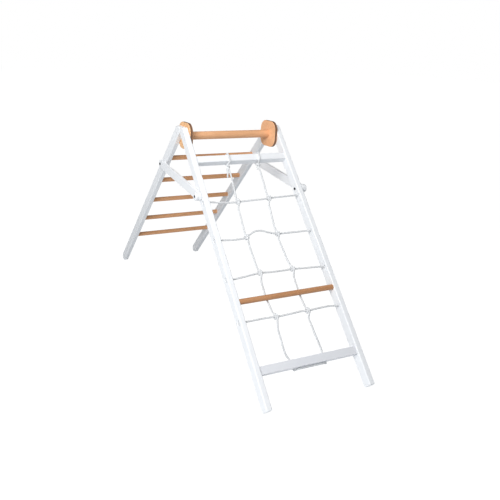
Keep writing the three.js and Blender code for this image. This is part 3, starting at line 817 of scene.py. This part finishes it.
# Fittings: turned heads with a hexagon recess, nuts, washers, the round knobs and the caps
head = {"radius": 6.5, "height": 4, "rounding": 1.8, "hex": 2.5, "hexSides": 6, "hexDepth": 2.4,
        "overrun": 1}
nut = {"flange": 2, "rounding": 0.8, "barrel": 5.5, "depth": 12, "closed": 2}
washer = {"radius": 10, "thickness": 1.4, "chamfer": 0.3}
knob = {
    "radius": 22.5,
    "inside": 317.3,
    "outside": 333.3,
    "boreDepth": 10,
    "backRounding": 1.5,
    "frontRounding": 5,
    "recess": 7.8,
    "recessDepth": 2.5,
    "chamfer": 0.6,
    "screwSide": 2,
    "screwHexPlace": 1.8,
    "around": 72,
}


def makeFitting(label, kind, side, rings, centre, finish, body, around=48, recess=None):
    sign = sides[side]
    piece = turnedPiece(f"{label}_{side}_{kind}", mirrored(rings, sign), centre, around)
    if recess:
        hexSides = head["hexSides"]
        corner = head["hex"] / math.cos(math.pi / hexSides)
        drill(piece, drillBit(corner, *[sign * place for place in recess], centre, hexSides))
    smooth(piece, shading["crispFitting"])
    return dress(piece, finish, body, f"{label}_{side}")


def makePivotFittings(side):
    pivot = stood("rear", bolts["pivot"])
    shaft, radius, soft = bolts["radius"], head["radius"], head["rounding"]
    seat = brace["outside"] + fit
    top = seat + head["height"]
    makeFitting("pivot_bolt", "steel", side, [
        (shaft, innerFace + fit), (shaft, seat), (radius, seat),
        *rim(radius - soft, top - soft, soft, 0, 90)], pivot, "black", "ladder",
        recess=(top + head["overrun"], top - head["hexDepth"]))
    closed, barrel, soft = (nut[key] for key in ("closed", "barrel", "rounding"))
    seat, end = innerFace - fit, innerFace + nut["depth"]
    top = seat - nut["flange"]
    makeFitting("pivot_nut", "steel", side, [
        (closed, top), *rim(radius - soft, top + soft, soft, -90, 0, 3), (radius, seat),
        (barrel, seat), (barrel, end), (boltHole, end), (boltHole, innerFace),
        (closed, innerFace)], pivot, "black", "ladder")
    under, edge, wide = outerFace + fit, washer["chamfer"], washer["radius"]
    over = under + washer["thickness"]
    makeFitting("brace_washer", "steel", side, [
        (boltHole, under), (wide - edge, under), (wide, under + edge), (wide, over - edge),
        (wide - edge, over), (boltHole, over), (boltHole, under)], pivot, "zinc", "ladder")


def makeHookFittings(side):
    hook = stood("front", bolts["hook"])
    shaft, radius, soft = bolts["radius"], head["radius"], head["rounding"]
    seat = innerFace - fit
    top = seat - head["height"]
    inside, outside, wide = knob["inside"], knob["outside"], knob["radius"]
    boreEnd = inside + knob["boreDepth"]
    makeFitting("hook_bolt", "steel", side, [
        *rim(radius - soft, top + soft, soft, -90, 0), (radius, seat), (shaft, seat),
        (shaft, boreEnd - fit)], hook, "black", "net_frame",
        recess=(top - head["overrun"], top + head["hexDepth"]))
    back, front, recess, chamfer = (
        knob[key] for key in ("backRounding", "frontRounding", "recess", "chamfer"))
    floor = outside - knob["recessDepth"]
    makeFitting("knob", "cap", side, [
        (boltHole, boreEnd), (boltHole, inside), *rim(wide - back, inside + back, back, -90, 0, 3),
        *rim(wide - front, outside - front, front, 0, 90, 7), (recess + chamfer, outside),
        (recess, outside - chamfer), (recess, floor)], hook, "plastic", "net_frame", knob["around"])
    top = floor + head["height"]
    makeFitting("knob_screw", "steel", side, [
        (radius, floor + fit), (radius, floor + knob["screwSide"]),
        *rim(radius - soft, top - soft, soft, 0, 90)], hook, "black", "net_frame",
        recess=(top + head["overrun"], floor + knob["screwHexPlace"]))


def makeHingeCap(side):
    radius, chamfer, soft = hingeCap["radius"], hingeCap["chamfer"], hingeCap["rounding"]
    inside, outside = hingeCap["inside"], hingeCap["outside"]
    makeFitting("hinge_cap", "disc", side, [
        (radius - chamfer, inside), (radius, inside + chamfer),
        *rim(radius - soft, outside - soft, soft, 0, 90, 3)],
        stood("rear", bolts["hinge"]), "plastic", "ladder")


for side in sides:
    makePivotFittings(side)
    makeHookFittings(side)
    makeHingeCap(side)

# Countersunk cross-head screws in the under face of the ladder's feet
footScrew = {
    "setbacks": {"upper": 52, "lower": 6},
    "roundPlace": 1532.3,
    "inset": 8,
    "head": 3.5,
    "headRim": 0.4,
    "headHeight": 3,
    "shaft": 1.8,
    "length": 32,
    "point": 3,
    "tip": 0.3,
    "blade": (2.4, 4, 0.8),
    "around": 32,
}


def makeFootScrew(level, setback, side, sign):
    face = -rail["depth"] / 2
    end = face + footScrew["length"]
    rings = [(footScrew["head"], face), (footScrew["head"], face + footScrew["headRim"]),
             (footScrew["shaft"], face + footScrew["headHeight"]),
             (footScrew["shaft"], end - footScrew["point"]), (footScrew["tip"], end)]
    name = f"foot_screw_{level}_{side}"
    piece = turnedPiece(f"{name}_steel", rings, (0, 0, 0), footScrew["around"])
    for turn in (0, 90):
        blade = block("crossBlade", footScrew["blade"], (face, 0, 0))
        blade.rotation_euler = (math.radians(turn), 0, 0)
        settle(blade)
        drill(piece, blade)
    # the shaft was drawn along X: it is stood along the panel's out direction
    across = sign * (innerFace + footScrew["inset"])
    down = footScrew["roundPlace"] - setback
    piece.matrix_world = (panelTurn("rear") @ Matrix.Translation((across * mm, 0, -down * mm))
                          @ Matrix.Rotation(math.pi / 2, 4, "Z"))
    settle(piece)
    tidyMesh(piece)
    smooth(piece, shading["crispFitting"])
    return dress(piece, "black", "ladder", name)


for level, setback in footScrew["setbacks"].items():
    for side, sign in sides.items():
        makeFootScrew(level, setback, side, sign)
print("fittings made")

# The net: three-strand rope, whose routes are [across, along, out] on the net panel
rope = {
    "radius": 5.15,
    "strand": 2.95,
    "strands": 3,
    "lay": 26,
    "step": 2,
    "sides": 9,
    "samples": 16,
    "firstNormal": (0.3, 0.2, 1),
    "patternLength": 10,
    "crisp": 60,
}
rowRoutes = [
    [[-256, 486, 5], [-219, 491, 5], [-160, 497, 4], [-102, 496, 3], [-20, 494, 4], [64, 492, 4],
     [87, 489, 3], [170, 487, 4], [256, 486, 5]],
    [[-256, 703, 5], [-211, 706, 4], [-155, 707, 3], [-117, 702, 3], [-94, 688, 6], [-62, 676, 9],
     [-30, 675, 9], [18, 690, 6], [65, 700, 4], [142, 702, 4], [256, 703, 5]],
    [[-256, 914, 5], [-162, 905, 4], [-127, 901, 3], [-106, 900, 3], [-40, 904, 4], [30, 905, 4],
     [82, 903, 3], [150, 908, 4], [218, 911, 5], [256, 914, 5]],
    [[-256, 1131, 5], [-190, 1130, 4], [-126, 1130, 3], [-96, 1132, 3], [0, 1130, 3],
     [50, 1127, 3], [87, 1130, 3], [155, 1127, 4], [223, 1127, 5], [256, 1131, 5]],
]
legRoutes = {
    "left": [
        [-93, 298, 0], [-93, 335, 3], [-98, 385, 4], [-102, 440, 4], [-106, 475, 4],
        [-108, 496, 3], [-110, 530, 3], [-113, 575, 2], [-116, 620, 3], [-119, 665, 3],
        [-120, 702, 3], [-115, 740, 1], [-113, 800, -1], [-112, 860, 1], [-111, 900, 3],
        [-110, 940, -2], [-109, 985, -8.5], [-108, 1032, -10.8], [-105, 1070, -8],
        [-105, 1108, 1], [-104, 1132, 3], [-104, 1190, 0], [-103, 1240, -6], [-101, 1280, -13],
        [-95, 1315, -20], [-84, 1337, -24.5], [-77, 1349, -26],
    ],
    "right": [
        [92, 282, 0], [91, 310, 2], [89, 345, 3], [87, 390, 4], [83, 440, 4], [80, 489, 3],
        [75, 520, 3], [72, 560, 2], [66, 610, 2], [62, 655, 3], [60, 701, 4], [62, 730, 2],
        [65, 765, 1], [69, 815, 1], [73, 860, 2], [76, 903, 3], [79, 940, -2], [81, 985, -8.5],
        [82, 1032, -10.8], [83, 1070, -8], [82, 1105, 1], [80, 1130, 3], [80, 1165, 2],
        [82, 1200, 0], [89, 1245, -7], [97, 1285, -14], [104, 1318, -21], [105, 1335, -24.5],
        [100, 1349, -26],
    ],
}

# Where a leg's route meets a row, and the middle of the knot there
knots = {
    "left": {(-108, 496, 3): (-102, 496, 3), (-120, 702, 3): (-117, 702, 3),
             (-111, 900, 3): (-106, 900, 3), (-104, 1132, 3): (-96, 1132, 3)},
    "right": {(80, 489, 3): (87, 489, 3), (60, 701, 4): (65, 701, 4),
              (76, 903, 3): (82, 903, 3), (80, 1130, 3): (87, 1130, 3)},
}


# A centripetal spline through the points, cut into even steps
def smoothLine(points, step):
    p = np.array(points, float)
    p = np.vstack([2 * p[0] - p[1], p, 2 * p[-1] - p[-2]])
    t = np.concatenate([[0], np.cumsum(np.linalg.norm(np.diff(p, axis=0), axis=1) ** 0.5)])
    pieces = []
    for i in range(1, len(p) - 2):
        u = np.linspace(t[i], t[i + 1], rope["samples"], endpoint=False)[:, None]
        a1 = ((t[i] - u) * p[i - 1] + (u - t[i - 1]) * p[i]) / (t[i] - t[i - 1])
        a2 = ((t[i + 1] - u) * p[i] + (u - t[i]) * p[i + 1]) / (t[i + 1] - t[i])
        a3 = ((t[i + 2] - u) * p[i + 1] + (u - t[i + 1]) * p[i + 2]) / (t[i + 2] - t[i + 1])
        b1 = ((t[i + 1] - u) * a1 + (u - t[i - 1]) * a2) / (t[i + 1] - t[i - 1])
        b2 = ((t[i + 2] - u) * a2 + (u - t[i]) * a3) / (t[i + 2] - t[i])
        pieces.append(((t[i + 1] - u) * b1 + (u - t[i]) * b2) / (t[i + 1] - t[i]))
    line = np.vstack([*pieces, p[-2]])
    run = np.concatenate([[0], np.cumsum(np.linalg.norm(np.diff(line, axis=0), axis=1))])
    even = np.linspace(0, run[-1], max(3, round(run[-1] / step) + 1))
    return np.stack([np.interp(even, run, line[:, k]) for k in range(3)], 1), even


def unit(rows):
    return rows / np.linalg.norm(rows, axis=1, keepdims=True)


# A normal that is carried along the line without twisting
def carriedNormals(tangents):
    normal = np.cross(tangents[0], rope["firstNormal"])
    found = []
    for tangent in tangents:
        normal = normal - tangent * (normal @ tangent)
        normal = normal / np.linalg.norm(normal)
        found.append(normal)
    return np.array(found)


# The rings of points round one strand, which winds about the rope's line
def strandPoints(line, run, tangents, across, strand):
    radius, ring = rope["strand"], rope["sides"]
    turn = (run / rope["lay"] + strand / rope["strands"])[:, None] * 2 * math.pi
    outward = np.cos(turn) * across + np.sin(turn) * np.cross(tangents, across)
    centre = line + (rope["radius"] - radius) * outward
    heading = unit(np.gradient(centre, axis=0))
    upward = unit(outward - heading * np.sum(outward * heading, axis=1, keepdims=True))
    sideways = np.cross(heading, upward)
    angles = [corner / ring * 2 * math.pi for corner in range(ring)]
    return [middle + radius * (math.cos(angle) * up + math.sin(angle) * beside)
            for middle, up, beside in zip(centre, upward, sideways) for angle in angles]


# The strand's skin between its rings, its two caps, and the UV map of both
def strandFaces(run, base):
    count, ring = len(run), rope["sides"]
    faces, uvs = [], []
    for index in range(count - 1):
        low, high = (place / rope["patternLength"] for place in run[index:index + 2])
        for corner in range(ring):
            first = base + index * ring
            a, b = first + corner, first + (corner + 1) % ring
            faces.append((a, b, b + ring, a + ring))
            uvs += [(corner / ring, low), ((corner + 1) / ring, low),
                    ((corner + 1) / ring, high), (corner / ring, high)]
    for index, order in ((0, -1), (count - 1, 1)):
        first = base + index * ring
        faces.append(tuple(range(first, first + ring))[::order])
        uvs += [(0.5, run[index] / rope["patternLength"])] * ring
    return faces, uvs


def laidRope(name, points, node):
    line, run = smoothLine(points, rope["step"])
    tangents = unit(np.gradient(line, axis=0))
    across = carriedNormals(tangents)
    vertices, faces, uvs = [], [], []
    for strand in range(rope["strands"]):
        strandSkin, strandMap = strandFaces(run, len(vertices))
        vertices += strandPoints(line, run, tangents, across, strand)
        faces += strandSkin
        uvs += strandMap
    mesh = bpy.data.meshes.new(name)
    mesh.from_pydata([panelPoint("front", *point) for point in vertices], [], faces)
    layer = mesh.uv_layers.new(name="UVMap")
    layer.data.foreach_set("uv", [value for pair in uvs for value in pair])
    mesh.update()
    piece = bpy.data.objects.new(name, mesh)
    bpy.context.scene.collection.objects.link(piece)
    with shaping(piece):
        bpy.ops.mesh.select_all(action="SELECT")
        bpy.ops.mesh.normals_make_consistent(inside=False)
    pick(piece)
    bpy.ops.object.shade_smooth_by_angle(angle=math.radians(rope["crisp"]))
    print("rope", name, "is", round(run[-1]), "mm,", len(mesh.polygons), "faces")
    return dress(piece, "rope", "net_frame", node)


# The stopper knot at a row's end lies coiled in the recess of the rail's outer face
stopper = {
    "turns": [20 + 45 * step for step in range(9)],
    "face": 294.8,
    "sinking": 0.35,
    "reach": 6.2,
    "tightening": 0.25,
    "wayOut": [[288.5, -1.5, 1], [283, 0, 0], [275, 0, 0]],
}


def stopperCoil(sign, place):
    lift = ropeHole["lift"]
    coil = []
    for step, degrees in enumerate(stopper["turns"]):
        turn = math.radians(degrees)
        reach = stopper["reach"] - stopper["tightening"] * step
        coil.append([sign * (stopper["face"] - stopper["sinking"] * step),
                     place + reach * math.sin(turn), lift + reach * math.cos(turn)])
    return coil + [[sign * x, place + down, lift + out] for x, down, out in stopper["wayOut"]]


def makeRow(index, route):
    place = rowPlaces[index]
    points = [*stopperCoil(-1, place), *route, *stopperCoil(1, place)[::-1]]
    laidRope(f"net_row_{index + 1}_rope", points, f"net_row_{index + 1}")


for index, route in enumerate(rowRoutes):
    makeRow(index, route)

# A knot round a row's rope: turns in degrees and radii about the row, and the shift along it
knotTurns = [
    (-62, 12.6, -6.4), (-40, 10.4, -6.2), (0, 9.4, -5.8), (45, 9.2, -5.5), (90, 9.2, -5.3),
    (135, 9.2, -5.2), (180, 9.2, -5.1), (225, 9.2, -5), (270, 10.2, -4.8), (300, 13, -4.4),
    (325, 16, -3.2), (352, 17, -0.6), (380, 15.4, 2.6), (410, 11.6, 4.8), (450, 9.2, 5.4),
    (495, 9.2, 5.4), (540, 9.2, 5.3), (585, 9.2, 5.2), (630, 9.2, 5.1), (675, 9.4, 4.8),
    (705, 9.8, 3.6), (728, 11, 2.2), (750, 13.4, 0.6), (775, 18, -1.2),
]


def knotPoints(place):
    x, down, out = place
    return [[x + shift, down + reach * math.sin(math.radians(turn)),
             out + reach * math.cos(math.radians(turn))] for turn, reach, shift in knotTurns]


def knottedLeg(side):
    points = []
    for point in legRoutes[side]:
        knot = knots[side].get(tuple(point))
        points += knotPoints(knot) if knot else [point]
    return points


# The rope's way over a crossbar: arcs about its corners, as (out, along) from its middle
wrap = {"gap": 0.7, "steps": 4, "legTurn": 40}


def cornerArc(outSign, alongSign, first, last):
    reach = crossbar["rounding"] + rope["radius"] + wrap["gap"]
    middle = crossbar["size"] / 2 - crossbar["rounding"]
    steps = wrap["steps"]
    turns = [math.radians(first + (last - first) * step / steps) for step in range(steps + 1)]
    return [(outSign * middle + reach * math.cos(turn),
             alongSign * middle + reach * math.sin(turn)) for turn in turns]


# The ties under the top crossbar: the hitch round the leg, from its lower to its upper end, the
# tail that leaves it, and the wrap's shifts at the bar's front foot, on its top and at its back
# foot. The leg then runs through the hitch, by way of the two offsets from its ends
ties = {
    "left": {"hitch": (286, 276), "begin": 245, "turns": 7, "reach": 7.2, "shifts": (12, 8, 12),
             "tail": [[-116, 346, 3], [-112, 332, 4], [-107, 314, 4], [-103, 298, 2]]},
    "right": {"hitch": (284, 271), "begin": 330, "turns": 9, "reach": 7.4, "shifts": (4, 14, 4),
              "tail": [[83, 303, -4], [84, 297, -4], [86, 291, -4]]},
}
hitch = {"turn": 45, "lift": 1, "above": (-4, -2), "below": (2, 1)}


def topTie(side):
    tie = ties[side]
    x, _, out = legRoutes[side][0]
    low, high = tie["hitch"]
    hitches = []
    for step in range(tie["turns"]):
        turn = math.radians(tie["begin"] + hitch["turn"] * step)
        hitches.append([
            x + tie["reach"] * math.cos(turn), low + (high - low) * step / (tie["turns"] - 1),
            out + hitch["lift"] + tie["reach"] * math.sin(turn)])
    legTurn = wrap["legTurn"]
    way = [*cornerArc(1, 1, legTurn, 0), *cornerArc(1, -1, 0, -90),
           *cornerArc(-1, -1, -90, -180), *cornerArc(-1, 1, 180, 180 - legTurn)]
    front, top, back = tie["shifts"]
    half = (len(way) - 1) / 2
    loop = []
    for step, (outward, down) in enumerate(way):
        share = step / half
        shift = front + (top - front) * share if share < 1 else top + (back - top) * (share - 1)
        loop.append([x + shift, crossbar["places"]["top_crossbar"] + down, outward])
    through = [[x, end + down, out + outward] for end, (down, outward) in (
        (high, hitch["above"]), (low, hitch["below"]))]
    return [*tie["tail"], *hitches, *loop, *through]


# Below the bottom crossbar the rope runs level from one leg to the other
underRun = {"leave": 10, "leaveOut": -5, "level": 30}


def underBar():
    place = crossbar["places"]["bottom_crossbar"]
    bend = cornerArc(-1, 1, 180, 90)
    left, right = (legRoutes[side][-1][0] for side in ("left", "right"))
    leave, leaveOut, level = underRun["leave"], underRun["leaveOut"], underRun["level"]
    under = place + bend[-1][1]
    down = [[left, place + fall, outward] for outward, fall in bend]
    up = [[right, place + fall, outward] for outward, fall in bend][::-1]
    return [*down, [left + leave, under, leaveOut], [left + level, under, 0], [0, under, 0],
            [right - level, under, 0], [right - leave, under, leaveOut], *up]


laidRope("net_upright_rope_laid", [
    *topTie("left"), *knottedLeg("left")[1:], *underBar(), *knottedLeg("right")[1:][::-1],
    *topTie("right")[::-1]], "net_upright_rope")
print("net made")

# The CAD's own hidden pieces keep their shapes and get their finish
for name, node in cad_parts.items():
    if not node.hide_render:
        finish = "rearRung" if "dowel" in name else "zinc"
        node.data.materials.clear()
        node.data.materials.append(finishes[finish])

# Studio, in metres and watts: pale floor and backdrop, a soft key from the left, a softer lamp
# overhead and a little light from all round
studio = {
    "floor": 60,
    "floorDrop": 0.0004,
    "floorColour": (0.87, 0.9, 0.93, 1),
    "white": (1, 1, 1, 1),
    "glow": 1.16,
    "glowShare": 0.85,
    "world": (0.9, 0.95, 1, 1),
    "worldLight": 0.2,
    "target": (0, -0.2, 0.6),
    "lamps": {
        "keyLamp": {"place": (-2.8, -2.5, 2.7), "size": 2.2, "power": 117},
        "topLamp": {"place": (-0.9, -1.2, 3), "size": 2, "power": 31},
    },
}


def makeFloor():
    bpy.ops.mesh.primitive_plane_add(size=studio["floor"], location=(0, 0, -studio["floorDrop"]))
    floor = settle(named("studioFloor"))
    finish = Finish("studioFloor")
    seen = finish.node("ShaderNodeMath", {"operation": "MAXIMUM"}, {
        0: finish.node("ShaderNodeLightPath", output="Is Camera Ray"),
        1: finish.node("ShaderNodeLightPath", output="Is Glossy Ray")})
    matt = finish.node("ShaderNodeBsdfDiffuse", None, {"Color": studio["floorColour"]})
    glow = finish.node("ShaderNodeEmission", None, {
        "Color": studio["white"], "Strength": studio["glow"]})
    mixed = finish.node("ShaderNodeMixShader", None, {
        0: seen * studio["glowShare"], 1: matt, 2: glow})
    floor.data.materials.append(finish.show(mixed))


def lightWorld():
    finish = Finish("studioWorld", "worlds", "ShaderNodeOutputWorld")
    seen = finish.node("ShaderNodeLightPath", output="Is Camera Ray")
    fill = finish.node("ShaderNodeBackground", None, {
        "Color": studio["world"], "Strength": studio["worldLight"]})
    backdrop = finish.node("ShaderNodeBackground", None, {"Color": studio["white"]})
    mixed = finish.node("ShaderNodeMixShader", None, {0: seen, 1: fill, 2: backdrop})
    bpy.context.scene.world = finish.show(mixed)


def hangLamp(name, place, size, power):
    lamp = bpy.data.lights.new(name, "AREA")
    lamp.shape, lamp.size, lamp.energy = "SQUARE", size, power
    hung = bpy.data.objects.new(name, lamp)
    bpy.context.scene.collection.objects.link(hung)
    hung.location = place
    towards = Vector(studio["target"]) - Vector(place)
    hung.rotation_euler = towards.to_track_quat("-Z", "Y").to_euler()


makeFloor()
lightWorld()
for name, lamp in studio["lamps"].items():
    hangLamp(name, **lamp)
print("studio lit")
